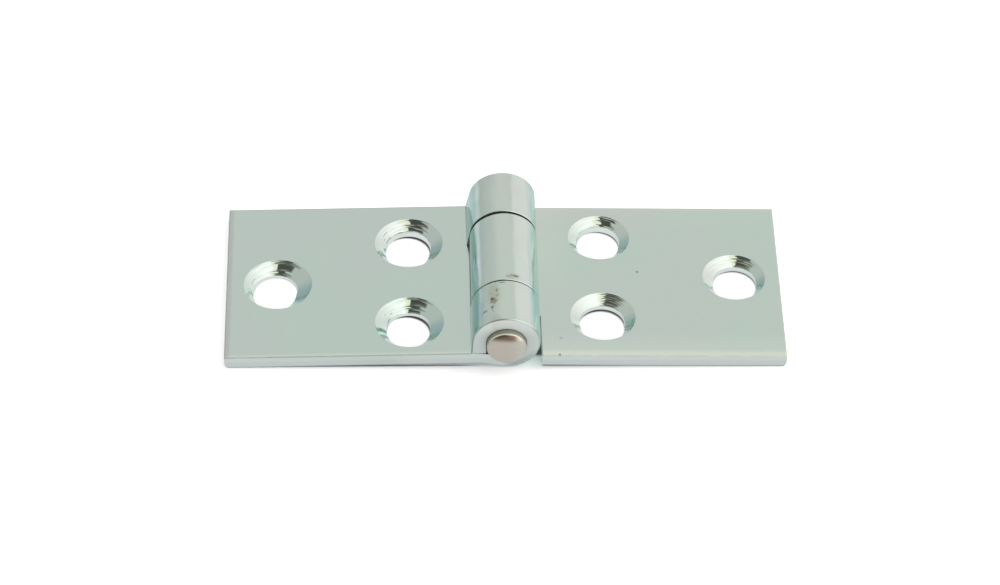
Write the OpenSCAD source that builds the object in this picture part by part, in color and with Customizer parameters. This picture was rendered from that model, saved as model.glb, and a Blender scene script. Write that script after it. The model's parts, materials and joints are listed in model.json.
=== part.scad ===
// Rolled steel butt hinge, lying open on a table with its barrel and countersinks up.
// X runs across the two leaves, Y along the pin with the front end at -Y, Z up. The origin is on
// the table under the middle of the pin. Each leaf is one strip of sheet: the flat leaf, a shallow
// joggle down to the barrel, and the curl that goes round the pin and ends on the leaf again.

/* [Leaves] */
// Reach of each leaf from the pin axis to its outer edge
leaf_reach = 40; // [34:0.5:60]
// Length of the leaves along the pin
leaf_len = 30; // [27:0.5:60]
// Thickness of the sheet
sheet_t = 2; // [1.7:0.1:2.4]
// Drop from the underside of the left leaf to the lowest line of the barrel
left_joggle = 0.8; // [0.6:0.05:1.1]
// The same drop on the right leaf
right_joggle = 0.5; // [0.3:0.05:0.8]
// Rounding that blanking leaves on the lower edges of the strip
edge_roll = 0.4; // [0.2:0.05:0.6]

/* [Barrel and pin] */
// Diameter of the hinge pin
pin_d = 5.6; // [4.6:0.1:6.6]
// Radial clearance between the pin and the curls
pin_play = 0.05; // [0.02:0.01:0.1]
// Length of pin that stands out at each end of the barrel
pin_out = 1.6; // [0.8:0.1:3]
// Rounding of the pin's ends
pin_round = 1.1; // [0.4:0.1:1.2]
// Length of the slot in the left leaf that takes the middle knuckle
slot_len = 14; // [10:0.5:18]
// Axial play of the middle knuckle in its slot
end_play = 0.5; // [0.3:0.05:0.8]
// Share of that play at the front end of the middle knuckle, as the leaves lie
front_play = 0.1; // [0.05:0.05:0.15]
// Clearance between the barrel and the notched edge of the other leaf
notch_gap = 0.1; // [0.05:0.05:0.8]
// Open seam between the cut end of a curl and its own leaf
seam = 0.08; // [0.05:0.01:0.15]

/* [Screw holes] */
// Diameter of the screw holes
hole_d = 6.2; // [5:0.1:7]
// Full angle of the countersinks
sink_angle = 110; // [90:1:120]
// Spacing along the pin of each leaf's two inner holes
inner_pitch = 16; // [14:0.2:18]

/* [Left leaf holes] */
// Countersink diameter on the left leaf
left_sink_d = 9.8; // [8:0.1:10]
// Distance of the left outer hole from the outer edge
left_outer_edge = 7.4; // [6:0.1:10]
// Distance of the left inner holes from the pin axis
left_inner_x = 13.7; // [12.5:0.1:16]
// Offset of the left holes along the pin, towards the front
left_hole_shift = 0.5; // [0:0.1:0.8]

/* [Right leaf holes] */
// Countersink diameter on the right leaf
right_sink_d = 9.1; // [8:0.1:10]
// Distance of the right outer hole from the outer edge
right_outer_edge = 6.6; // [6:0.1:10]
// Distance of the right inner holes from the pin axis
right_inner_x = 14.1; // [12.5:0.1:16]
// Offset of the right holes along the pin, towards the back
right_hole_shift = 0.8; // [0:0.1:0.8]

/* [Hidden] */
$fn = 96;
zinc = [0.72, 0.79, 0.75];
pin_steel = [0.74, 0.69, 0.66];
// Overshoot of a cutting shape past the face that it cuts
over = 1;

bore_r = pin_d / 2 + pin_play;
barrel_r = bore_r + sheet_t;
pin_len = leaf_len + 2 * pin_out;
// Run and drop of the strip's slope where the two arcs of a leaf's joggle meet
left_slope = [117, 44];
right_slope = [24, 7];
// Knuckles along the pin: two on the left leaf, one on the right leaf in the slot between them
outer_knuckle = (leaf_len - slot_len) / 2;
outer_knuckle_y = (leaf_len - outer_knuckle) / 2;
middle_knuckle = slot_len - end_play;
// The right leaf lies a little to the front, so that most of the play is at the back
right_leaf_y = front_play - end_play / 2;

// A joggle is two arcs that meet on the line through their centres: the barrel's own circle and a
// reverse bend on the leaf's side. This is the distance between the two centres
function bend_span(joggle, slope) = joggle * norm(slope) / (norm(slope) - slope.x);
// Distance from the pin axis to the start of the reverse bend
function bend_x(joggle, slope) = bend_span(joggle, slope) * slope.y / norm(slope);
// Edge of the notch in a leaf, on the flat, where the other leaf's curls turn
function notch_x(joggle, slope) = max(barrel_r, bend_x(joggle, slope)) + notch_gap;
// A leaf droops about the pin until its rolled outer edge lies on the table beside the barrel
function droop(joggle) =
    let (arm = leaf_reach - edge_roll, rise = barrel_r - joggle - edge_roll)
    atan2(arm, rise) - acos((barrel_r - edge_roll) / norm([arm, rise]));

// Waste outside a rounding of radius r, at a corner whose material is on the +x, +y side
module round_off(r) {
    difference() {
        translate([-over, -over]) square(over + r);
        translate([r, r]) circle(r);
    }
}

// Section across the strip: thickness along x with the outer face at x = 0, width along y.
// The die has rolled both edges of the outer face
module strip_section(width) {
    difference() {
        translate([0, -width / 2]) square([sheet_t, width]);
        for (side = [0, 1]) mirror([0, side]) translate([0, -width / 2]) round_off(edge_roll);
    }
}

// Flat run of the strip with its underside at height z, from x = -from out to x = -to
module flat_run(from, to, width, z) {
    translate([-from, 0, z])
        rotate([0, -90, 0]) linear_extrude(to - from) strip_section(width);
}

// Ring of strip about an axis along y, and the sector of it that a wedge from that axis leaves
module bent_run(x, z) {
    translate([x, 0, z]) rotate([90, 0, 0])
        difference() {
            rotate_extrude() children(0);
            linear_extrude(2 * leaf_len, center = true) children(1);
        }
}

// One knuckle: strip from the notch, reverse bend, curl round the pin and straight cut end
module curl(width, joggle, slope) {
    run = slope.x;
    drop = slope.y;
    bend_r = bend_span(joggle, slope) - barrel_r;
    cut_z = joggle + sheet_t + seam;
    flat_run(bend_x(joggle, slope), notch_x(joggle, slope), width, joggle);
    bent_run(-bend_x(joggle, slope), joggle - bend_r) {
        translate([bend_r, 0]) strip_section(width);
        polygon([[0, run], [0, 0], [drop, run], [run, run], [run, -run], [-run, -run], [-run, run]]);
    }
    bent_run(0, barrel_r) {
        translate([barrel_r, 0]) mirror([1, 0]) strip_section(width);
        polygon([[0, 0], [-run, 0], [-run, -run], [-drop, -run]]);
    }
    translate([-barrel_r, 0, cut_z]) linear_extrude(barrel_r - cut_z) strip_section(width);
}

// Drill and countersink of one screw hole, revolved about the hole's axis, from the underside up
module screw_hole(sink_d) {
    flare = tan(sink_angle / 2);
    sink_depth = (sink_d - hole_d) / 2 / flare;
    rotate_extrude()
        polygon([
            [0, -over],
            [hole_d / 2, -over],
            [hole_d / 2, sheet_t - sink_depth],
            [sink_d / 2 + over * flare, sheet_t + over],
            [0, sheet_t + over]
        ]);
}

// A leaf that reaches to -x, with a curl of the given width at each of the given places along the
// pin, one hole near the outer edge and two near the barrel, about the line y = hole_y
module rolled_leaf(knuckle_y, knuckle_w, joggle, slope, sink_d, outer_edge, inner_x, hole_y) {
    translate([0, 0, barrel_r]) rotate([0, -droop(joggle), 0]) translate([0, 0, -barrel_r])
        difference() {
            union() {
                flat_run(notch_x(joggle, slope), leaf_reach, leaf_len, joggle);
                for (y = knuckle_y) translate([0, y, 0]) curl(knuckle_w, joggle, slope);
            }
            rotate([90, 0, 0]) linear_extrude(leaf_len + 2 * over, center = true)
                translate([-leaf_reach, joggle]) round_off(edge_roll);
            translate([outer_edge - leaf_reach, hole_y, joggle]) screw_hole(sink_d);
            for (side = [-1, 1])
                translate([-inner_x, hole_y + side * inner_pitch / 2, joggle]) screw_hole(sink_d);
        }
}

// Left leaf, with the front and back knuckles
module left_leaf() {
    color(zinc)
        rolled_leaf([-outer_knuckle_y, outer_knuckle_y], outer_knuckle, left_joggle, left_slope,
            left_sink_d, left_outer_edge, left_inner_x, -left_hole_shift);
}

// Right leaf, with the middle knuckle
module right_leaf() {
    color(zinc)
        translate([0, right_leaf_y, 0]) mirror([1, 0, 0])
            rolled_leaf([0], middle_knuckle, right_joggle, right_slope,
                right_sink_d, right_outer_edge, right_inner_x, right_hole_shift);
}

// Pin, a plain rod with rounded ends
module hinge_pin() {
    color(pin_steel)
        translate([0, 0, barrel_r]) rotate([90, 0, 0]) rotate_extrude()
            difference() {
                translate([0, -pin_len / 2]) square([pin_d / 2, pin_len]);
                for (side = [0, 1])
                    mirror([0, side]) translate([pin_d / 2, -pin_len / 2])
                        mirror([1, 0]) round_off(pin_round);
            }
}

left_leaf();
right_leaf();
hinge_pin();
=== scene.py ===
import json
import math

import bpy
import numpy as np
from mathutils import Matrix, Vector


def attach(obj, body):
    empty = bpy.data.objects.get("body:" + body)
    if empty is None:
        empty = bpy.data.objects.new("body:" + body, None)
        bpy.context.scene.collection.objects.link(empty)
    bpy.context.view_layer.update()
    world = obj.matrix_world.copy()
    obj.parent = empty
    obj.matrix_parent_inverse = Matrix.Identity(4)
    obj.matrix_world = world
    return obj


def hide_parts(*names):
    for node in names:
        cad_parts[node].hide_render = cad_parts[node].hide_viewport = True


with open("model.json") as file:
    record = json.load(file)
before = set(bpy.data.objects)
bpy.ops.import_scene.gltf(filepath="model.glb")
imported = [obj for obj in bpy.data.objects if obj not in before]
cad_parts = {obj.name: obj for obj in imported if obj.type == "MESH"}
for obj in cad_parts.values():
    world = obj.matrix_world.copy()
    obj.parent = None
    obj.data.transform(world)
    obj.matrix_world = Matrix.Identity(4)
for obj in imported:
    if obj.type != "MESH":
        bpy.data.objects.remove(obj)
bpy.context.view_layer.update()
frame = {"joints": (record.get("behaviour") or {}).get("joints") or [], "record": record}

mm = 0.001
mounts = {mount["name"]: mount for mount in frame["record"]["mounts"]}
barrelR = frame["joints"][0]["pos_m"][2] / mm             # the barrel lies on the table
print("frame loaded, barrel radius", round(barrelR, 3), "mm")


# strip that both leaves are rolled from, in mm: flat leaf, joggle, curl, cut end
strip = {
    "reach": 40.0,        # pin axis to outer edge
    "length": 30.0,       # along the pin
    "sheet": 2.0,
    "notchGap": 0.02,     # notch edge to the barrel of the other leaf
    "seam": 0.08,         # cut end of the curl to its own leaf
    "inset": 0.002,       # outer faces stay this far inside the solid
    "flatStep": 0.42,     # mesh spacing on the leaf and round the curl
    "curlStep": 0.2,
    "layers": 8,          # rows of points through the sheet
    "cutSpread": 0.85,    # how far the cut end's inner face stays by the pin when the end leans out
    "skewRun": 3.0,       # a notch cut askew moves the strip this far on both sides of it
    "skewEnd": 2.0,       # and a knuckle's end that is askew, this far along the pin
    "smoothAngle": 38,    # degrees, steeper edges are sharp
}
# rounded edges of the strip, in mm: lower edge across and up, upper edge across and down
edgeForms = {
    "outer": (0.6, 0.85, 0.3, 0.1),
    "side": (0.12, 0.1, 0.1, 0.05),
    "notch": (0.24, 0.2, 0.06, 0.03),
    "knuckle": (0.13, 0.1, 0.06, 0.04),
    "end": (0.22, 0.18, 0.06, 0.04),
    "endLow": (0.12, 0.1, 0.06, 0.04),
    "cut": (0.08, 0.06, 0.05, 0.04),
}
endLowShare = 0.3         # share of the curl that has the endLow edge
edgeCrowd = np.array([0.012, 0.03, 0.055, 0.09, 0.14, 0.2, 0.27, 0.36, 0.47, 0.62, 0.8])
sheet = strip["sheet"]


def leafForm(joggle, slopeRun, slopeDrop, flare, flareTwist, notchSkew, notchOff, endSkew, axis):
    # lengths along a leaf's strip, in mm: the joggle is the barrel's circle and a reverse bend that meet
    # on the line through their centres; the droop comes from the leaf's own underside in the frame
    slopeLen = math.hypot(slopeRun, slopeDrop)
    span = joggle * slopeLen / (slopeLen - slopeRun)
    form = {"joggle": joggle, "bendR": span - barrelR, "bendX": span * slopeDrop / slopeLen,
            "bendTurn": math.asin(slopeDrop / slopeLen), "droop": math.asin(abs(axis[0])),
            "flare": math.radians(flare), "flareTwist": math.radians(flareTwist), "notchSkew": notchSkew,
            "notchOff": notchOff, "endSkew": endSkew}
    form["curlTurn"] = 1.5 * math.pi + form["bendTurn"]
    form["notchAt"] = strip["reach"] - max(barrelR, form["bendX"]) - strip["notchGap"]
    form["flatEnd"] = strip["reach"] - form["bendX"]
    form["bendEnd"] = form["flatEnd"] + (form["bendR"] + sheet / 2) * form["bendTurn"]
    form["curlEnd"] = form["bendEnd"] + (barrelR - sheet / 2) * (form["curlTurn"] - form["flare"])
    form["cutEnd"] = form["curlEnd"] + barrelR - joggle - sheet - strip["seam"]
    return form


def runShare(form, s, start, end):
    # 0 to 1 from one named place along the strip to another
    return np.clip((s - form[start]) / (form[end] - form[start]), 0, 1)


def rollStrip(form, s, v, h):
    # place in the leaf's section of a point at s along the strip from its outer edge, v along the pin and h
    # above the outer face: a flat run, an arc about a centre under the sheet, an arc about the pin and a
    # straight end that leans out by the flare, spread so that its inner face stays by the pin
    lean = form["flare"] + form["flareTwist"] * v
    bend = runShare(form, s, "flatEnd", "bendEnd") * form["bendTurn"]
    curl = runShare(form, s, "bendEnd", "curlEnd") * (form["curlTurn"] - lean) - math.pi / 2 - form["bendTurn"]
    fall = (barrelR + (barrelR - h) * np.sin(lean) - form["joggle"] - sheet - strip["seam"]) / np.cos(lean)
    fall = fall * runShare(form, s, "curlEnd", "cutEnd")
    spread = 1 - strip["cutSpread"] * h / sheet
    runs = [s <= form["flatEnd"], s <= form["bendEnd"]]
    x = np.select(runs, [s - strip["reach"], (form["bendR"] + h) * np.sin(bend) - form["bendX"]],
                  (barrelR - h) * np.cos(curl) - fall * np.sin(lean) * spread)
    bendZ = form["joggle"] - form["bendR"] + (form["bendR"] + h) * np.cos(bend)
    z = np.select(runs, [form["joggle"] + h, bendZ],
                  barrelR + (barrelR - h) * np.sin(curl) - fall * np.cos(lean))
    return x, z


def crowdedLines(low, high, step):
    # even lines from low to high, with finer ones that crowd in on both ends
    even = np.linspace(low, high, max(2, round((high - low) / step)) + 1)
    reach = edgeCrowd[-1] + step / 2
    even = even[(even > low + reach) & (even < high - reach)]
    return np.concatenate([[low], low + edgeCrowd, even, high - edgeCrowd[::-1], [high]])


def roundFall(gap, across, up):
    # quarter ellipse: how far a rounded edge falls back at a distance gap from the edge
    q = np.clip(1 - gap / across, 0, 1)
    return up * (1 - np.sqrt(np.maximum(0, 1 - q * q)))


def easeStep(low, high, value):
    # 0 below low, 1 above high, smooth between
    q = np.clip((value - low) / (high - low), 0, 1)
    return q * q * (3 - 2 * q)


def blankEdges(form, fingers):
    # the blank's outline as straight edges: (kind, s from, s to, v from, v to)
    half = strip["length"] / 2
    notchAt, cutEnd = form["notchAt"], form["cutEnd"]
    edges = [("outer", 0, 0, -half, half)]
    stops = [-half] + [v for finger in fingers for v in finger] + [half]
    for low, high in zip(stops[0::2], stops[1::2]):
        if high > low:
            edges.append(("notch", notchAt, notchAt, low, high))
    for side in (-half, half):
        edges.append(("side", 0, notchAt, side, side))
    for low, high in fingers:
        edges.append(("cut", cutEnd, cutEnd, low, high))
        for side in (low, high):
            kind, start = "knuckle", notchAt
            if abs(side) > half - 1:
                kind = "end"
                start = form["bendEnd"] + endLowShare * (form["curlEnd"] - form["bendEnd"])
                edges.append(("side", notchAt, form["flatEnd"], side, side))
                edges.append(("endLow", form["flatEnd"], start, side, side))
            edges.append((kind, start, cutEnd, side, side))
    return edges


def edgeShape(s, v, edges):
    # distance to the nearest edge of the blank, and how far the lower and upper edges are rounded away
    gap, low, high = np.full(np.shape(s), 1e3), np.zeros(np.shape(s)), np.zeros(np.shape(s))
    for kind, s0, s1, v0, v1 in edges:
        near = np.hypot(s - np.clip(s, s0, s1), v - np.clip(v, v0, v1))
        lowIn, lowUp, highIn, highUp = edgeForms[kind]
        gap = np.minimum(gap, near)
        low = np.maximum(low, roundFall(near, lowIn, lowUp))
        high = np.maximum(high, roundFall(near, highIn, highUp))
    return gap, low, high


# countersunk hole, in mm; the cutter leaves rings that wander a little round the cone
sinkShape = {
    "rimRound": 0.05,
    "ringTilt": 0.14,      # slope of the rings against the cone
    "ringWander": 0.12,
    "ringChatter": 0.7,    # how unevenly a ring is cut round the cone
    "coneRows": 60,
    "footRound": 0.14,     # edge of the hole on the underside
    "nearStretch": 0.6,    # the hole reaches further to the near side
    "block": 0.75,         # flat round the rim that is meshed with the hole
    # marks for the material: the cone, its near right and near left, where the material paints shade and a
    # highlight, and the wall under it
    "cone": 0.8, "nearRightShade": 0.2, "nearLeftSheen": -0.12, "wall": 0.4,
}
sinkKeys = ("rimR", "holeR", "coneRun", "far", "flank", "near", "nearTurn", "rings", "seed")


def sinkProfile(angle, side, rimR, holeR, coneRun, far, flank, near, nearTurn, rings, seed):
    # radius, height and mark of a countersunk hole by row and angle: rim, ringed cone whose depth changes from
    # the far side to the flanks and the near side, wall that tapers to the hole, rounded foot; the hole is
    # stretched towards the near side, and the mark rises to the near right of the cone and falls to its left,
    # where the material paints shade and a highlight
    away = np.sin(angle)
    nearer = np.maximum(-np.sin(angle + nearTurn), 0)
    depth = flank + (far - flank) * np.maximum(away, 0) ** 2 + (near - flank) * nearer
    holeR = holeR + sinkShape["nearStretch"] * nearer
    footR = np.maximum(holeR, rimR - coneRun * depth)
    slant = np.hypot(rimR - footR, depth)
    ones = np.ones_like(angle)
    rim = np.linspace(0, 1, 5)[:-1, None]
    rimRad = rimR + sinkShape["rimRound"] * (1 - rim) * ones
    rimHgt = sheet - 0.5 * sinkShape["rimRound"] * rim ** 2 * ones
    q = np.linspace(0, 1, sinkShape["coneRows"])[:, None]
    wander = sinkShape["ringWander"] * (np.sin(angle + seed) + 0.5 * np.sin(2 * angle + 2.3 * seed))
    phase = q * rings + wander + 0.16 * np.sin(8 * q + seed) + 0.37 * seed
    groove = 1 - (2 * (phase % 1) - 1) ** 2
    fade = easeStep(0.0, 0.06, q) * easeStep(0.0, 0.06, 1 - q) * easeStep(-0.05, 0.5, away)
    fade = fade * (1 + sinkShape["ringChatter"] * np.sin(9 * angle + 2.4 * np.floor(phase) + seed))
    ripple = sinkShape["ringTilt"] * slant / rings / 4 * fade * groove
    coneRad = rimR + (footR - rimR) * q - ripple * depth / slant
    coneHgt = sheet - 0.5 * sinkShape["rimRound"] * (1 - q) - depth * q + ripple * (rimR - footR) / slant
    foot = sinkShape["footRound"]
    drop = np.linspace(0, 1, 6)[1:, None]
    wallHgt = (sheet - depth) * (1 - drop) + foot * drop
    wallRad = footR * (1 - drop) + holeR * drop
    turn = np.linspace(0, math.pi / 2, 5)[1:, None] * ones
    footRad = holeR + foot * (1 - np.cos(turn))
    footHgt = foot * (1 - np.sin(turn))
    left = side * np.cos(angle)
    cone = (sinkShape["cone"] + sinkShape["nearRightShade"] * easeStep(0.3, 1.0, -0.71 * (left + away))
            + sinkShape["nearLeftSheen"] * easeStep(0.78, 0.97, 0.82 * left - 0.57 * away))
    radius = np.concatenate([rimRad, coneRad, wallRad, footRad])
    height = np.concatenate([rimHgt, coneHgt, wallHgt, footHgt])
    mark = np.concatenate([0 * rimRad, cone * np.ones_like(q), 0 * wallRad + sinkShape["wall"],
                           0 * footRad + sinkShape["wall"]])
    return radius, height, mark, depth


def makeMesh(name, points, faces, marks, caps=()):
    # mesh object from arrays of points in mm and of quads, with one float per point in each named mark
    used, faces = np.unique(faces, return_inverse=True)
    faces = faces.reshape(-1, 4)
    mesh = bpy.data.meshes.new(name)
    mesh.from_pydata((points[used] * mm).tolist(), [], faces.tolist() + [list(cap) for cap in caps])
    for mark, values in marks.items():
        layer = mesh.attributes.new(mark, "FLOAT", "POINT")
        layer.data.foreach_set("value", values[used].astype(np.float32))
    mesh.validate()
    mesh.shade_smooth()
    mesh.set_sharp_from_angle(angle=math.radians(strip["smoothAngle"]))
    piece = bpy.data.objects.new(name, mesh)
    bpy.context.scene.collection.objects.link(piece)
    print(name, len(mesh.vertices), "points", len(mesh.polygons), "faces")
    return piece


def sinkTube(hole, side, rimS, rimV):
    # points and marks of one countersunk hole, row by row from the block's edge on the upper face, over the
    # profile, to the block's edge on the underside; rimS and rimV go round the block from the hole's centre
    angle = np.arctan2(rimV, rimS)[None, :]
    outer = np.hypot(rimS, rimV)[None, :]
    radius, height, mark, depth = sinkProfile(angle, side, *[hole[key] for key in sinkKeys])
    blendIn = np.array([0.4, 0.75])[:, None]
    radius = np.concatenate([outer + (radius[:1] - outer) * blendIn, radius,
                             radius[-1:] + (outer - radius[-1:]) * blendIn])
    height = np.concatenate([np.full((2, angle.size), sheet), height, np.full((2, angle.size), strip["inset"])])
    # the drilled hole sits a little off the countersink's centre
    slip = easeStep(sheet, sheet - depth, height) * np.clip((outer - radius) / (outer - hole["holeR"]), 0, 1)
    tube = np.stack([hole["s"] + radius * np.cos(angle) + hole["slip"][0] * slip,
                     hole["v"] + radius * np.sin(angle) + hole["slip"][1] * slip, height], -1)
    return tube, np.pad(mark, ((2, 2), (0, 0)))


def rolledLeaf(name, form, fingers, holes, side, shiftY):
    # a leaf as a lattice of layers over the flat blank, (s, v, layer), with each hole's block of cells
    # swapped for a countersunk tube, then rolled up, hung down by the droop and set on its side
    half = strip["length"] / 2
    notchAt, cutEnd = form["notchAt"], form["cutEnd"]
    sLines = np.unique(np.concatenate([crowdedLines(0, notchAt, strip["flatStep"]),
                                       crowdedLines(notchAt, cutEnd, strip["curlStep"])]))
    stops = sorted({-half, half} | {v for finger in fingers for v in finger})
    vLines = np.unique(np.concatenate([crowdedLines(low, high, strip["flatStep"])
                                       for low, high in zip(stops[:-1], stops[1:]) if high - low > 2]
                                      + [np.array(stops)]))
    edges = blankEdges(form, fingers)
    sGrid, vGrid = np.meshgrid(sLines, vLines, indexing="ij")
    low, high = edgeShape(sGrid, vGrid, edges)[1:]
    low = low + strip["inset"]
    high = sheet - high
    level = np.linspace(0, 1, strip["layers"])
    hGrid = low + (high - low) * level[:, None, None]
    ids = np.arange(hGrid.size).reshape(hGrid.shape)
    top = len(level) - 1

    sMid = (sLines[:-1] + sLines[1:])[:, None] / 2
    vMid = (vLines[:-1] + vLines[1:])[None, :] / 2
    solid = (sMid < notchAt) & (np.abs(vMid) < half)
    for v0, v1 in fingers:
        solid = solid | ((sMid > notchAt) & (vMid > v0) & (vMid < v1))
    shown = solid.copy()

    lattice = [np.broadcast_to(sGrid, hGrid.shape), np.broadcast_to(vGrid, hGrid.shape), hGrid]
    points = [np.stack(lattice, -1).reshape(-1, 3)]
    sinkMark = [np.zeros(hGrid.size)]
    faces = []
    count = hGrid.size
    for hole in holes:
        block = hole["rimR"] + sinkShape["block"]
        i0, i1 = [int(np.argmin(np.abs(sLines - hole["s"] - way * block))) for way in (-1, 1)]
        j0, j1 = [int(np.argmin(np.abs(vLines - hole["v"] - way * block))) for way in (-1, 1)]
        shown[i0:i1, j0:j1] = False
        loopI = np.concatenate([np.arange(i0, i1), np.full(j1 - j0, i1),
                                np.arange(i1, i0, -1), np.full(j1 - j0, i0)])
        loopJ = np.concatenate([np.full(i1 - i0, j0), np.arange(j0, j1),
                                np.full(i1 - i0, j1), np.arange(j1, j0, -1)])
        tube, mark = sinkTube(hole, side, sLines[loopI] - hole["s"], vLines[loopJ] - hole["v"])
        points.append(tube.reshape(-1, 3))
        sinkMark.append(mark.ravel())
        rows = np.concatenate([ids[top, loopI, loopJ][None], count + np.arange(mark.size).reshape(mark.shape),
                               ids[0, loopI, loopJ][None]])
        count += mark.size
        ahead = np.roll(rows, -1, axis=1)
        faces.append(np.stack([rows[:-1], ahead[:-1], ahead[1:], rows[1:]], -1).reshape(-1, 4))

    # upper face and underside, then the walls wherever a solid cell meets an empty one
    i, j = np.nonzero(shown)
    faces.append(np.stack([ids[top, i, j], ids[top, i + 1, j], ids[top, i + 1, j + 1], ids[top, i, j + 1]], -1))
    faces.append(np.stack([ids[0, i, j], ids[0, i, j + 1], ids[0, i + 1, j + 1], ids[0, i + 1, j]], -1))
    padded = np.pad(solid, 1).astype(int)
    layers = np.arange(top)[:, None]
    changes = ((0, 1, np.diff(padded, axis=0)[:, 1:-1]), (1, 0, np.diff(padded, axis=1)[1:-1]))
    for stepI, stepJ, change in changes:
        for way in (1, -1):
            i, j = np.nonzero(change == way)
            quad = [ids[layers, i, j], ids[layers, i + stepI, j + stepJ],
                    ids[layers + 1, i + stepI, j + stepJ], ids[layers + 1, i, j]]
            if way * (stepI - stepJ) < 0:
                quad = quad[::-1]
            faces.append(np.stack(quad, -1).reshape(-1, 4))

    points = np.concatenate(points)
    faces = np.concatenate(faces)
    s, v, h = points.T
    gap = edgeShape(s, v, edges)[0]
    # the notch is cut a little out of square, and stands off in front of the first knuckle
    skew = form["notchSkew"] * v - form["notchOff"] * easeStep(-fingers[0][0], 0.25 - fingers[0][0], -v)
    skewed = s + skew * np.clip(1 - np.abs(s - notchAt) / strip["skewRun"], 0, 1)
    x, z = rollStrip(form, skewed, v, h)
    z = z - barrelR
    cosD, sinD = math.cos(form["droop"]), math.sin(form["droop"])
    x, z = x * cosD - z * sinD, x * sinD + z * cosD
    if side > 0:
        x, faces = -x, faces[:, ::-1]
    curl = runShare(form, s, "bendEnd", "curlEnd")
    # the back end of the knuckle is rolled out of square, short on its left
    last = fingers[-1][1]
    short = np.clip(-x / barrelR, 0, 1) * (curl > 0) * easeStep(last - strip["skewEnd"], last, v)
    v = v - form["endSkew"] * short
    marks = {"edgeGap": gap, "sheetLevel": h / sheet, "curlShare": curl, "sinkWall": np.concatenate(sinkMark)}
    return makeMesh(name, np.stack([x, v + shiftY, z + barrelR], -1), faces, marks)


# the two leaves, in mm and degrees
leftShape = {"joggle": 0.8, "slopeRun": 117, "slopeDrop": 44, "flare": 8.5, "flareTwist": 0.3,
             "notchSkew": 0.0, "notchOff": 0.0, "endSkew": 0.0}
rightShape = {"joggle": 0.5, "slopeRun": 24, "slopeDrop": 7, "flare": 4.0, "flareTwist": 0.0,
              "notchSkew": 0.0107, "notchOff": 0.17, "endSkew": 0.16}
leftHoles = {"outerEdge": 7.4, "innerX": 13.7, "pitch": 16.0, "shift": -0.5}
rightHoles = {"outerEdge": 6.6, "innerX": 14.1, "pitch": 16.0, "shift": 0.8}
# each countersink: rim and hole radius, run of the cone for each mm of depth, depth at the far side, the flanks
# and the near side, turn of the near side, rings, and how far the hole slips along strip and pin
leftCuts = [
    {"rimR": 4.9, "holeR": 3.1, "coneRun": 1.43, "far": 1.36, "flank": 1.2, "near": 1.8, "nearTurn": 0.2,
     "rings": 3.0, "slip": (-0.4, 0.0), "seed": 0},
    {"rimR": 4.9, "holeR": 3.1, "coneRun": 1.9, "far": 1.4, "flank": 0.94, "near": 1.45, "nearTurn": 0.05,
     "rings": 3.4, "slip": (-0.14, -0.05), "seed": 1},
    {"rimR": 4.9, "holeR": 3.2, "coneRun": 1.43, "far": 1.03, "flank": 1.1, "near": 1.8, "nearTurn": 0.15,
     "rings": 3.0, "slip": (-0.09, 0.0), "seed": 2},
]
rightCuts = [
    {"rimR": 4.5, "holeR": 3.1, "coneRun": 1.43, "far": 1.1, "flank": 1.0, "near": 1.6, "nearTurn": -0.1,
     "rings": 3.2, "slip": (-0.2, 0.0), "seed": 3},
    {"rimR": 4.65, "holeR": 3.2, "coneRun": 1.43, "far": 1.2, "flank": 1.05, "near": 1.8, "nearTurn": 0.05,
     "rings": 5.5, "slip": (0.05, 0.0), "seed": 4},
    {"rimR": 4.45, "holeR": 3.05, "coneRun": 1.43, "far": 0.9, "flank": 0.9, "near": 1.5, "nearTurn": -0.15,
     "rings": 2.6, "slip": (0.07, 0.0), "seed": 5},
]
# slot in the left leaf and how the middle knuckle lies in it
knuckles = {"slot": 14.06, "endPlay": 0.56, "frontPlay": 0.15, "slotShift": -0.28, "backShort": 0.2}


def holePlaces(holes, cuts):
    # centres along the strip and the pin: the outer hole, then the front and back inner ones
    inner = strip["reach"] - holes["innerX"]
    centres = [(holes["outerEdge"], holes["shift"]), (inner, holes["shift"] - holes["pitch"] / 2),
               (inner, holes["shift"] + holes["pitch"] / 2)]
    return [{"s": s, "v": v, **cut} for (s, v), cut in zip(centres, cuts)]


halfLen = strip["length"] / 2
slotMid, slotHalf = knuckles["slotShift"], knuckles["slot"] / 2
middleHalf = (knuckles["slot"] - knuckles["endPlay"]) / 2
rightShift = knuckles["frontPlay"] - knuckles["endPlay"] / 2
leftFingers = [(-halfLen, slotMid - slotHalf), (slotMid + slotHalf, halfLen - knuckles["backShort"])]
rightFingers = [(slotMid - middleHalf, slotMid + middleHalf)]
leftForm = leafForm(**leftShape, axis=mounts["left_underside"]["axis"])
rightForm = leafForm(**rightShape, axis=mounts["right_underside"]["axis"])
leftLeaf = rolledLeaf("leftLeaf", leftForm, leftFingers, holePlaces(leftHoles, leftCuts), -1, 0.0)
rightLeaf = rolledLeaf("rightLeaf", rightForm, rightFingers, holePlaces(rightHoles, rightCuts), 1, rightShift)


# hinge pin, in mm
pinShape = {"radius": 2.81, "standOut": 1.6, "crown": 0.1, "endAlong": 0.6, "endAcross": 1.2, "sides": 160}


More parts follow.
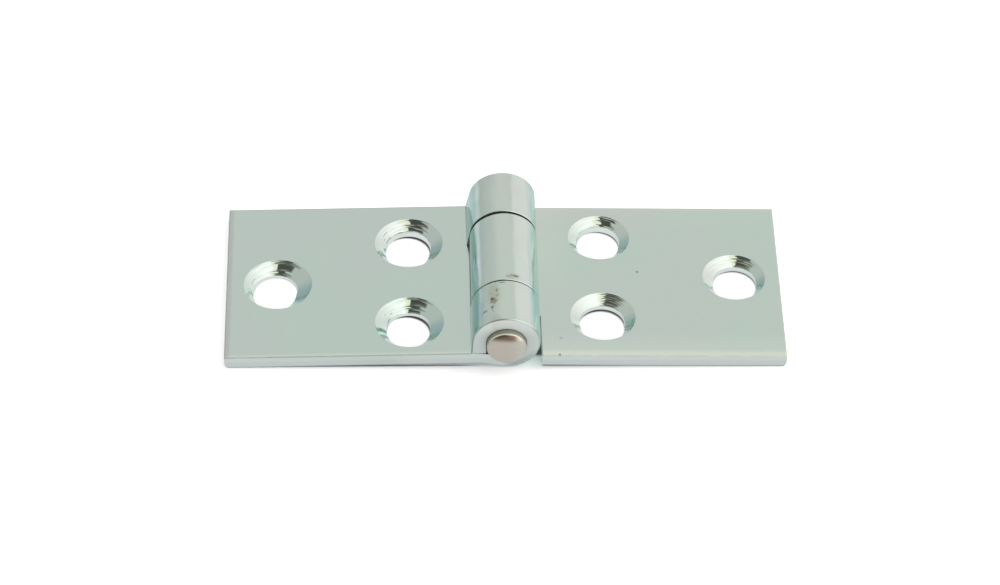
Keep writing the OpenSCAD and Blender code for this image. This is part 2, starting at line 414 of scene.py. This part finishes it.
def revolvedPin():
    # a rod turned about its own axis: crowned end, quarter-ellipse edge, straight side, and the same again
    endY = halfLen + pinShape["standOut"] - strip["inset"]
    flatR = pinShape["radius"] - pinShape["endAcross"]
    face = np.linspace(0.1, flatR, 16)
    turn = np.linspace(0, math.pi / 2, 28)[1:]
    crownY = endY - pinShape["crown"] * (face / flatR) ** 2
    roundR = flatR + pinShape["endAcross"] * np.sin(turn)
    roundY = endY - pinShape["crown"] - pinShape["endAlong"] * (1 - np.cos(turn))
    side = np.linspace(roundY[-1], -roundY[-1], 40)[1:-1]
    radius = np.concatenate([face, roundR, np.full(side.size, pinShape["radius"]), roundR[::-1], face[::-1]])
    along = np.concatenate([crownY, roundY, side, -roundY[::-1], -crownY[::-1]])
    angle = np.arange(pinShape["sides"]) * 2 * math.pi / pinShape["sides"]
    points = np.stack([radius[:, None] * np.cos(angle), along[:, None] * np.ones_like(angle),
                       barrelR + radius[:, None] * np.sin(angle)], -1).reshape(-1, 3)
    ids = np.arange(len(points)).reshape(radius.size, angle.size)
    ahead = np.roll(ids, -1, axis=1)
    quads = np.stack([ids[:-1], ids[1:], ahead[1:], ahead[:-1]], -1).reshape(-1, 4)
    return makeMesh("hingePin", points, quads, {}, [ids[0].tolist(), ids[-1, ::-1].tolist()])


hingePin = revolvedPin()


class Wire:
    # one output socket of a node tree; arithmetic on it adds Math nodes
    def __init__(self, tree, socket=None):
        self.tree = tree
        self.socket = socket

    def add(self, kind, settings=None, values=None, out=0):
        # any node: its type, then its settings, then the values or links of its sockets
        node = self.tree.nodes.new(kind)
        for key, value in (settings or {}).items():
            setattr(node, key, value)
        for key, value in (values or {}).items():
            if isinstance(value, Wire):
                self.tree.links.new(value.socket, node.inputs[key])
            else:
                node.inputs[key].default_value = value
        return Wire(self.tree, node.outputs[out])

    def other(self, out):
        # another output of the same node
        return Wire(self.tree, self.socket.node.outputs[out])

    def math(self, operation, first, second=0.0, third=0.0):
        return self.add("ShaderNodeMath", {"operation": operation}, {0: first, 1: second, 2: third})

    def size(self):
        return self.math("ABSOLUTE", self)

    def atLeast(self, other):
        return self.math("MAXIMUM", self, other)

    def hypot(self, other):
        return self.math("SQRT", self.math("POWER", self, 2.0) + self.math("POWER", other, 2.0))

    def ease(self, low, high):
        # 0 below low, 1 above high, smooth between
        return self.add("ShaderNodeMapRange", {"interpolation_type": "SMOOTHSTEP"},
                        {"Value": self, "From Min": low, "From Max": high})

    def between(self, low, high, soft):
        return self.ease(low - soft, low + soft) * (1 - self.ease(high - soft, high + soft))

    def mix(self, first, second, blend="MIX"):
        # colour that goes from first to second as this value goes from 0 to 1
        paint = [(*c, 1) if isinstance(c, tuple) else c for c in (first, second)]
        return self.add("ShaderNodeMix", {"data_type": "RGBA", "blend_type": blend},
                        {0: self, 6: paint[0], 7: paint[1]}, 2)

    def times(self, first, second):
        # colour multiplied by the second one as this value goes from 0 to 1
        return self.mix(first, second, "MULTIPLY")

    def scale(self, vector, factor):
        return self.add("ShaderNodeVectorMath", {"operation": "SCALE"}, {0: vector, "Scale": factor})

    def shaders(self, first, second):
        # shader that goes from first to second as this value goes from 0 to 1
        return self.add("ShaderNodeMixShader", None, {0: self, 1: first, 2: second})

    def split(self):
        parts = self.add("ShaderNodeSeparateXYZ", None, {0: self})
        return [parts.other(axis) for axis in "XYZ"]

    def noise(self, scale, detail=2.0, stretch=(1.0, 1.0, 1.0)):
        # cloudy value about 0.5 over this point
        place = self.add("ShaderNodeVectorMath", {"operation": "MULTIPLY"}, {0: self, 1: stretch})
        return self.add("ShaderNodeTexNoise", None, {"Vector": place, "Scale": scale, "Detail": detail})

    def mark(self, name):
        return self.add("ShaderNodeAttribute", {"attribute_name": name}, None, "Fac")

    def __add__(self, other):
        return self.math("ADD", self, other)

    def __sub__(self, other):
        return self.math("SUBTRACT", self, other)

    def __rsub__(self, other):
        return self.math("SUBTRACT", other, self)

    def __mul__(self, other):
        return self.math("MULTIPLY", self, other)

    def __truediv__(self, other):
        return self.math("DIVIDE", self, other)

    def __rtruediv__(self, other):
        return self.math("DIVIDE", other, self)

    def __neg__(self):
        return self.math("MULTIPLY", self, -1.0)

    __radd__ = __add__
    __rmul__ = __mul__


def newMaterial(name):
    # material with an empty tree, and where on the piece it is, in mm
    material = bpy.data.materials.new(name)
    material.use_nodes = True
    material.node_tree.nodes.clear()
    wire = Wire(material.node_tree)
    place = wire.add("ShaderNodeTexCoord", None, None, "Object")
    return material, wire, wire.scale(place, 1 / mm)


def surface(wire, shader, kind="ShaderNodeOutputMaterial"):
    out = wire.tree.nodes.new(kind)
    wire.tree.links.new(shader.socket, out.inputs["Surface"])


# bright zinc plating, pale blue-green; colours named after a place multiply the plating's there, apart from
# edgeFace, land, the seam faces' painted shade, scratch, dot and rust, which cover it
zincFinish = {
    "green": (0.672, 0.808, 0.73), "violet": (0.69, 0.79, 0.735), "fine": 0.018,
    "rightLeaf": (1.03, 1.025, 1.01),
    # barrel; the flank colours also hold painted shade
    "warm": (1.05, 1.015, 0.985), "flankLeft": (0.6, 0.79, 0.82), "flankRight": (0.74, 0.92, 0.9),
    "lilac": (0.99, 0.96, 1.13), "blue": (0.82, 0.96, 1.08), "rolled": (0.68, 0.69, 0.72), "waveHeight": 0.3,
    # bands on the flats: painted highlights, and a painted darker strip on the left outer edge
    "cream": (1.33, 1.26, 1.18), "creamLeft": (1.13, 1.09, 1.05), "backBand": (1.1, 1.03, 1.04),
    "innerBand": (1.06, 1.04, 1.03), "outerStrip": (0.93, 0.84, 0.86), "cornerLine": (0.8, 0.79, 0.79),
    # cut faces and the barrel's ends, with painted shade on the lower edge, low on the ends and in the seams,
    # and painted light at the top of the ends
    "edgeFace": (0.72, 0.795, 0.765), "faceTop": (1.07, 1.05, 1.05), "lowEdgeShade": (0.5, 0.5, 0.53),
    "ringTopLight": (1.2, 1.17, 1.15), "ringInnerLight": (1.12, 1.12, 1.12), "ringLowShade": (0.66, 0.655, 0.67),
    "seamShade": (0.3, 0.32, 0.3),
    # countersinks: the hole's wall, and painted shade and a painted highlight on the cone
    "land": (0.93, 1.0, 0.94), "sinkShade": (0.66, 0.79, 0.83), "sinkSheen": (1.1, 1.12, 1.15),
    # wear
    "scratch": (0.95, 0.97, 0.95), "scratchShare": 0.12, "scratchHalf": 0.09, "dot": (0.3, 0.3, 0.26),
    "rust": (0.16, 0.125, 0.07), "stain": (0.86, 0.8, 0.72),
    "roughness": 0.15, "coneRoughness": 0.09, "faceRoughness": 0.55, "cloudRough": 0.05, "rustRough": 0.25,
    "rustDull": 0.6, "endDull": 0.8,      # metal that rust and the barrel's end faces take away
}
# the marks are places on the rest pose in mm: x, y, half width, half length, strength
rustSpots = [
    (-1.97, -10.53, 0.25, 0.35, 1.0), (-1.8, -11.0, 0.5, 0.7, 0.55), (-2.01, -12.13, 0.24, 0.35, 0.75),
    (-1.35, -9.02, 0.22, 0.3, 0.6), (-1.32, -10.08, 0.2, 0.25, 0.4), (1.41, -6.27, 0.5, 0.35, 0.75),
    (0.91, -6.23, 0.35, 0.22, 0.6), (0.35, -6.45, 0.5, 0.25, 0.35), (-0.6, -7.68, 0.6, 0.16, 0.65),
    (-3.0, -12.48, 0.45, 0.22, 0.7), (-1.94, -12.87, 0.2, 0.3, 0.35),
]
# paler stain round the rust, bloom on the barrel's sides, dots on the right leaf
stainSpots = [(-1.7, -9.6, 1.0, 2.6, 0.8), (1.2, -6.4, 1.2, 0.8, 0.5), (-1.5, -14.4, 1.0, 0.8, 0.5)]
blooms = [(-3.75, -3.2, 0.45, 3.4, 0.8), (4.1, -9.5, 0.6, 4.5, 1.0), (-4.0, -11.5, 0.4, 2.5, 0.5)]
plateDots = [(19.37, 1.62, 0.22, 0.25, 0.8), (7.89, -11.69, 0.3, 0.3, 0.3), (7.63, -14.95, 0.2, 0.25, 0.8)]
# scratches from one place to another
scratches = [(24.76, -5.96, 25.61, -6.39), (25.29, -7.25, 27.84, -8.39), (28.21, -6.67, 28.82, -6.85),
             (23.68, -9.17, 24.63, -9.21), (27.42, -8.39, 29.07, -8.38)]


def strongest(masks):
    total = masks[0]
    for mask in masks[1:]:
        total = total.atLeast(mask)
    return total


def spotMask(x, y, ragged, spots):
    # strongest of the soft ellipses about the given places, with ragged edges
    masks = []
    for x0, y0, wide, long, strength in spots:
        away = ((x - x0) / wide).hypot((y - y0) / long)
        masks.append(strength * (1 - (away + ragged).ease(0.5, 1.15)))
    return strongest(masks)


def scratchMask(x, y, lines, half):
    # within half a line width of any of the straight scratches
    masks = []
    for x0, y0, x1, y1 in lines:
        runX, runY = x1 - x0, y1 - y0
        share = ((x - x0) * runX + (y - y0) * runY) / (runX ** 2 + runY ** 2)
        share = x.math("MINIMUM", share.atLeast(0.0), 1.0)
        away = (x - x0 - share * runX).hypot(y - y0 - share * runY)
        masks.append(1 - away.ease(0, half))
    return strongest(masks)


def zincMaterial():
    finish = zincFinish
    material, wire, place = newMaterial("zincPlate")
    x, y, z = place.split()
    gap, level, curl, sink = [wire.mark(name) for name in ("edgeGap", "sheetLevel", "curlShare", "sinkWall")]
    barrel = curl.ease(0.02, 0.1)
    rise = (z - barrelR) / barrelR
    upper = level.ease(0.9, 0.97) * (1 - barrel)
    flat = upper * (1 - sink.ease(0.05, 0.3))
    right = x.ease(-1, 1)
    left = 1 - right
    ragged = place.noise(2.2, 2.0) - 0.5

    tint = place.noise(0.055, 2.0).ease(0.38, 0.62).mix(finish["green"], finish["violet"])
    grain = place.noise(0.5, 3.0) - 0.5 + 2 * (place.noise(2.6, 2.0) - 0.5)
    tint = wire.scale(tint, 1 + finish["fine"] * grain)
    tint = (right * (1 - barrel)).times(tint, finish["rightLeaf"])
    # streaks along the barrel, its warm crest, and the blue-green of its flanks where the plating pooled; the
    # flanks are also darkened there as painted shade where the barrel meets the leaves
    streak = place.noise(1.3, 3.0, (1.0, 0.12, 1.0)).ease(0.38, 0.7)
    tint = (barrel * streak * 0.6).times(tint, finish["warm"])
    tint = (barrel * x.between(-1.2, 0.9, 0.8)).times(tint, finish["warm"])
    poolAndShade = rise + 0.25 * (place.noise(0.35, 2.0) - 0.5) - 0.12 * (1 - y.ease(-12, 2)) * left
    poolAndShade = barrel * (1 - poolAndShade.ease(0.5, 0.66))
    tint = (poolAndShade * left).times(tint, finish["flankLeft"])
    tint = (poolAndShade * right).times(tint, finish["flankRight"])
    # faint blue and lilac bloom low on both sides of the barrel
    bloom = barrel * spotMask(x, y, 1.0 * ragged, blooms)
    tint = bloom.times(tint, right.mix(finish["lilac"], finish["blue"]))
    # painted highlights: pale bands along the front and back edges of the flats and by the barrel; painted
    # shade: a darker strip at the left outer edge
    front = y + halfLen - rightShift * right + 0.3 * ragged
    back = halfLen - y
    band = flat * right * (0.8 - 0.6 * front.ease(0.5, 1.5) - 0.2 * front.ease(1.5, 5.0))
    tint = band.times(tint, finish["cream"])
    tint = (flat * left * (1 - front.ease(0.3, 0.8))).times(tint, finish["creamLeft"])
    band = flat * right * (1 - 0.7 * back.ease(0.3, 1.1) - 0.3 * back.ease(1.1, 5.0))
    tint = band.times(tint, finish["backBand"])
    tint = (flat * right * (1 - x.ease(5.5, 12)) * y.ease(-8, 8)).times(tint, finish["innerBand"])
    band = flat * left * (1 - (x + strip["reach"] + 0.5 * ragged).ease(0.45, 1.0))
    tint = band.times(tint, finish["outerStrip"])
    # cut faces: paler; painted shade darkens the lowest part of the sheet, along its lower edges and underside
    cut = 1 - gap.ease(0.002, 0.012)
    tint = cut.mix(tint, finish["edgeFace"])
    tint = (cut * level.ease(0.5, 0.62) * (1 - barrel)).times(tint, finish["faceTop"])
    tint = ((1 - level.ease(0.05, 0.1)) * (1 - barrel)).times(tint, finish["lowEdgeShade"])
    # end faces of the barrel, with painted light palest at the top, and painted shade covering the faces in its
    # seams
    outside = y.size().ease(halfLen - 0.6, halfLen - 0.4)
    ends = cut * barrel * outside
    tint = (ends * rise.ease(0.2, 0.8)).times(tint, finish["ringTopLight"])
    tint = (ends * rise.ease(0.2, 0.8) * level.ease(0.5, 1.0)).times(tint, finish["ringInnerLight"])
    tint = (cut * barrel * (1 - outside)).mix(tint, finish["seamShade"])
    # painted shade low down on the end faces
    low = (0.12 * x - rise).ease(0.7, 1.1) * (0.55 + 0.45 * level.between(0.2, 0.55, 0.12))
    tint = (ends * low).times(tint, finish["ringLowShade"])
    # painted shade on the rolled front edge of the barrel, darkest low down
    rolledShade = barrel * gap.ease(0.004, 0.02) * (1 - (gap + 0.15 * rise.ease(-0.3, 0.3)).ease(0.32, 0.44))
    rolledShade = rolledShade * (1 - (y + halfLen).ease(0.5, 0.6))
    tint = (rolledShade * (1 - 0.6 * rise.ease(-0.2, 0.6))).times(tint, finish["rolled"])
    # darker line along the upper edges, patchy and weaker on the right leaf
    cornerDark = upper * (1 - gap.ease(0.08, 0.2)) * (1 - 0.5 * right) * place.noise(0.5, 2.0).ease(0.25, 0.5)
    tint = cornerDark.times(tint, finish["cornerLine"])
    # countersinks: colour of the hole's wall, painted shade on the near right of the cone, and a painted
    # highlight on its near left
    tint = sink.between(0.3, 0.5, 0.05).mix(tint, finish["land"])
    tint = sink.ease(0.8, 1.0).times(tint, finish["sinkShade"])
    tint = (sink.ease(0.5, 0.6) * (1 - sink.ease(0.68, 0.8))).times(tint, finish["sinkSheen"])
    # scratches, dots, stains and rust
    scratch = finish["scratchShare"] * flat * scratchMask(x, y, scratches, finish["scratchHalf"])
    tint = scratch.mix(tint, finish["scratch"])
    tint = (flat * spotMask(x, y, 0.6 * ragged, plateDots)).mix(tint, finish["dot"])
    crest = barrel * rise.ease(0.2, 0.4)
    tint = (crest * spotMask(x, y, 1.2 * ragged, stainSpots)).times(tint, finish["stain"])
    rust = crest * spotMask(x, y, 1.5 * ragged, rustSpots)
    tint = rust.mix(tint, finish["rust"])

    rough = finish["roughness"] + finish["cloudRough"] * place.noise(0.6, 3.0).ease(0.35, 0.7)
    rough = rough + (finish["coneRoughness"] - rough) * sink.ease(0.5, 0.6) + finish["rustRough"] * rust
    rough = rough + (finish["faceRoughness"] - rough) * cut
    metal = 1 - finish["rustDull"] * rust - finish["endDull"] * ends
    # the rolling leaves the barrel faintly wavy
    wave = barrel * (1 - cut) * place.noise(0.22, 1.0, (1.0, 0.6, 1.0))
    wavy = wire.add("ShaderNodeBump", None,
                    {"Strength": 1.0, "Distance": finish["waveHeight"] * mm, "Height": wave})
    surface(wire, wire.add("ShaderNodeBsdfPrincipled", None,
                           {"Base Color": tint, "Metallic": metal, "Roughness": rough, "Normal": wavy}))
    return material


# the pin's dark upper band, dark side and bright rim line are painted shade and a painted highlight
pinFinish = {"tint": (0.63, 0.575, 0.5), "pale": (0.68, 0.65, 0.57), "upperShade": (0.2, 0.155, 0.12),
             "side": (0.36, 0.36, 0.29), "rim": (0.95, 0.9, 0.78), "roughness": 0.26, "cloudRough": 0.08}


def pinMaterial():
    # plain steel, paler to the right, with painted shade along its side, low on its edge and as a brown band on
    # the upper part of the rounded front edge, and a painted highlight line behind that
    material, wire, place = newMaterial("pinSteel")
    x, y, z = place.split()
    pale = (x + 0.8 * (place.noise(0.9, 2.0) - 0.5)).ease(0.2, 2.2)
    tint = pale.mix(pinFinish["tint"], pinFinish["pale"])
    height = z - barrelR + 0.2 * (place.noise(0.7, 2.0) - 0.5)
    back = y + halfLen + pinShape["standOut"]                  # distance behind the front end
    # painted shade on the upper part of the rounded front edge
    upperShade = height.ease(1.45, 2.4) * (1 - back.ease(0.5, 0.6)) * (1 - 0.9 * x.ease(0.9, 2.0))
    tint = upperShade.mix(tint, pinFinish["upperShade"])
    # painted highlight: bright line just behind the rounded edge
    tint = (height.ease(0.8, 2.0) * back.between(0.56, 0.8, 0.05)).mix(tint, pinFinish["rim"])
    # painted shade low on the edge and along the side
    tint = ((-height).ease(2.1, 2.75) * 0.8).mix(tint, pinFinish["side"])
    tint = (back.ease(0.78, 0.86) * (1 - 0.4 * x.ease(0.5, 2.2))).mix(tint, pinFinish["side"])
    rough = pinFinish["roughness"] + pinFinish["cloudRough"] * place.noise(1.5, 3.0)
    surface(wire, wire.add("ShaderNodeBsdfPrincipled", None,
                           {"Base Color": tint, "Metallic": 1.0, "Roughness": rough}))
    return material


zinc = zincMaterial()
pinSteel = pinMaterial()
for piece, node, body, slot, material in ((leftLeaf, "left_leaf", "fixed_leaf", "zinc_plate", zinc),
                                          (rightLeaf, "right_leaf", "swing_leaf", "zinc_plate", zinc),
                                          (hingePin, "hinge_pin", "fixed_leaf", "pin_steel", pinSteel)):
    piece.data.materials.append(material)
    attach(piece, body)
    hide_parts(node)
print("leaves and pin ride on their bodies")


# white table; lengths on it in mm
table = {
    "size": 6.0, "drop": 0.00002,        # in metres
    "white": (0.85,) * 3, "seen": (1.6, 1.6, 1.61), "shade": (0.2,) * 3,
    "coverReach": 0.004,                 # metres over the table in which a leaf shades it
    # where the painted shade under the leaves and the painted dark line along their front edges lie, in mm
    "shadeX": (38.5, 39.2), "shadeY": (-12.8, 14.3, 0.3),
    "lineX": (38.8, 39.3), "lineY": (-14.8, -14.5, 0.06), "lineShare": 0.85,
    "lineGap": ((-8, -1), (5.0, 5.4)),   # the line fades out towards the barrel on both sides
    # what metal shows of it, near, away to the left and under the leaves, where it is painted shade
    "glow": (0.8, 0.81, 0.83), "farGlow": (0.62, 0.66, 0.69), "farX": (45, 80), "underGlow": (0.55,) * 3,
    "glowShare": 0.75,
    # painted light: where the camera sees white through each hole, off its centre
    "holeR": 3.35, "holeSoft": 0.16,
    "holes": {"left_outer_screw": [(-0.55, 0.1)], "left_inner_screws": [(-0.52, -0.05), (-0.35, 0.12)],
              "right_outer_screw": [(-0.05, -0.3)], "right_inner_screws": [(-0.22, -0.17), (-0.35, 0.0)]},
}


def holeMask(x, y):
    # painted light: white discs on the table under the screw holes
    masks = []
    for name, offsets in table["holes"].items():
        holeX, holeY = [value / mm for value in mounts[name]["pos_m"][:2]]
        spread = mounts[name]["dims"].get("spacing_y_mm", 0.0) / 2
        for way, (offX, offY) in zip((-1, 1), offsets):
            away = (x - (holeX + offX)).hypot(y - (holeY + way * spread + offY))
            masks.append(1 - away.ease(table["holeR"] - table["holeSoft"], table["holeR"] + table["holeSoft"]))
    return strongest(masks)


def whiteFloor():
    corner = np.array([[-1, -1], [1, -1], [1, 1], [-1, 1]]) * table["size"] / 2
    mesh = bpy.data.meshes.new("tableTop")
    mesh.from_pydata(np.c_[corner, np.full(4, -table["drop"])].tolist(), [], [[0, 1, 2, 3]])
    floor = bpy.data.objects.new("tableTop", mesh)
    bpy.context.scene.collection.objects.link(floor)
    material, wire, place = newMaterial("tableWhite")
    x, y = place.split()[:2]
    seen = wire.add("ShaderNodeLightPath", None, None, "Is Camera Ray")
    mirrored = seen.other("Is Glossy Ray")
    # the camera sees it white, with painted shade under the leaves and a painted dark line along their front
    # edges, kept only where a leaf lies over it
    bare = wire.add("ShaderNodeAmbientOcclusion", {"samples": 8}, {"Distance": table["coverReach"]}, "AO")
    under = (1 - x.size().ease(*table["shadeX"])) * y.between(*table["shadeY"])
    leftGap, rightGap = table["lineGap"]
    line = (1 - x.size().ease(*table["lineX"])) * y.between(*table["lineY"])
    line = line * (1 - x.ease(*leftGap) + x.ease(*rightGap))
    under = under.atLeast(table["lineShare"] * line) * (1 - bare.ease(0.35, 0.65))
    white = seen.mix(table["white"], under.mix(table["seen"], table["shade"]))
    top = wire.add("ShaderNodeBsdfDiffuse", None, {"Color": white})
    # metal shows the table bright, darker away to the left, and with painted shade under the leaves
    shown = under.times((-x).ease(*table["farX"]).mix(table["glow"], table["farGlow"]), table["underGlow"])
    shown = wire.add("ShaderNodeEmission", None, {"Color": shown, "Strength": 1.0})
    top = (mirrored * table["glowShare"]).shaders(top, shown)
    # painted light: the camera sees plain white discs through the screw holes; from below it sees through the
    # table
    lit = wire.add("ShaderNodeEmission", None, {"Color": (1, 1, 1, 1), "Strength": 1.0})
    top = (holeMask(x, y) * seen).shaders(top, lit)
    below = wire.add("ShaderNodeNewGeometry", None, None, "Backfacing")
    surface(wire, (below * seen).shaders(top, wire.add("ShaderNodeBsdfTransparent")))
    mesh.materials.append(material)


lampShape = {"power": 1.3, "size": 0.5, "place": (0.7, 0.15, 0.7)}


def keyLamp():
    # lights the table and its shadow; the metal shows only the room
    lamp = bpy.data.lights.new("keyLamp", "AREA")
    lamp.energy, lamp.size = lampShape["power"], lampShape["size"]
    piece = bpy.data.objects.new("keyLamp", lamp)
    place = Vector(lampShape["place"])
    piece.matrix_world = Matrix.Translation(place) @ place.to_track_quat("Z", "Y").to_matrix().to_4x4()
    piece.visible_glossy = False
    bpy.context.scene.collection.objects.link(piece)


# room by direction: a bright box on the right, a pale wall behind and a dark room in front
room = {
    "plain": (0.75,) * 3,                # what the table is lit by
    "box": (1.04, 0.98, 0.99), "boxLevel": 1.07, "boxFall": -0.4, "boxAcross": 0.1,
    "boxLean": 0.186, "boxTurn": 0.62, "turnFrom": -0.45, "lowTurn": 1.5, "lowFrom": -0.52,
    "wallLevel": 0.69, "leftLevel": 0.59, "horizon": (0.86, 0.9, 0.92),
    "cream": (1.1, 1.03, 0.89), "creamWide": 0.24,
    "dark": (1.0, 0.98, 0.86), "overhead": 0.085, "higher": 0.23, "lower": 0.35,
}


def studioWorld():
    world = bpy.data.worlds.new("studio")
    world.use_nodes = True
    world.node_tree.nodes.clear()
    wire = Wire(world.node_tree)
    x, y, z = wire.add("ShaderNodeTexCoord", None, None, "Generated").split()
    # right box: its left edge leans, edge is positive inside it
    lean = room["boxLean"] + room["boxTurn"] * y.atLeast(room["turnFrom"])
    edge = x - z * (lean + room["lowTurn"] * (room["lowFrom"] - y).atLeast(0.0))
    level = room["boxLevel"] + room["boxFall"] * y + room["boxAcross"] * x
    box = wire.scale(room["box"], level)
    # wall behind, darker to the left and low down there
    level = room["wallLevel"] + (room["leftLevel"] - room["wallLevel"]) * (-x).ease(0.15, 0.6)
    wall = wire.add("ShaderNodeCombineColor", None, {0: level, 1: level, 2: level})
    wall = ((-x).ease(0.15, 0.5) * (1 - z.ease(0.03, 0.36))).times(wall, room["horizon"])
    colour = edge.ease(-0.04, 0.04).mix(wall, box)
    # the room in front is darkest overhead, with a cream border beside the box
    front = 1 - y.ease(-0.12, -0.04)
    colour = (front * edge.between(0.0, room["creamWide"], 0.04)).mix(colour, room["cream"])
    dim = room["overhead"] + room["higher"] * (1 - z.ease(0.68, 0.88))
    dim = dim + room["lower"] * (1 - z.ease(0.15, 0.68))
    colour = (front * (1 - edge.ease(-0.02, 0.02))).mix(colour, wire.scale(room["dark"], dim))
    # the table is lit evenly, and the camera sees white
    seen = wire.add("ShaderNodeLightPath", None, None, "Is Camera Ray")
    colour = seen.other("Is Diffuse Ray").mix(colour, room["plain"])
    colour = seen.mix(colour, (1.0, 1.0, 1.0))
    sky = wire.add("ShaderNodeBackground", None, {"Color": colour, "Strength": 1.0})
    surface(wire, sky, "ShaderNodeOutputWorld")
    bpy.context.scene.world = world


whiteFloor()
keyLamp()
studioWorld()
print("studio made")


# camera: focal length in pixels of a 1000 pixel wide frame, angles in degrees, distances in mm
view = {"focal": 3818.7, "frameWidth": 1000, "rise": 45.580, "yaw": 2.392, "roll": -1.491,
        "distance": 553.2, "across": -0.481, "up": -0.175, "sensor": 36.0}


def studioCamera():
    rise, yaw, roll = [math.radians(view[key]) for key in ("rise", "yaw", "roll")]
    turn = Matrix.Rotation(-yaw, 3, "Z")
    ahead = turn @ Vector((0, math.cos(rise), -math.sin(rise)))
    right = turn @ Vector((1, 0, 0))
    up = turn @ Vector((0, math.sin(rise), math.cos(rise)))
    place = (-view["distance"] * ahead + view["across"] * right + view["up"] * up) * mm
    axisX = right * math.cos(roll) - up * math.sin(roll)
    axisY = right * math.sin(roll) + up * math.cos(roll)
    lens = bpy.data.cameras.new("studioCamera")
    lens.sensor_width = view["sensor"]
    lens.lens = view["focal"] * view["sensor"] / view["frameWidth"]
    lens.clip_start, lens.clip_end = 0.01, 20
    camera = bpy.data.objects.new("studioCamera", lens)
    camera.matrix_world = Matrix.Translation(place) @ Matrix((axisX, axisY, -ahead)).transposed().to_4x4()
    bpy.context.scene.collection.objects.link(camera)
    bpy.context.scene.camera = camera


studioCamera()
bpy.context.scene.view_settings.view_transform = "Standard"
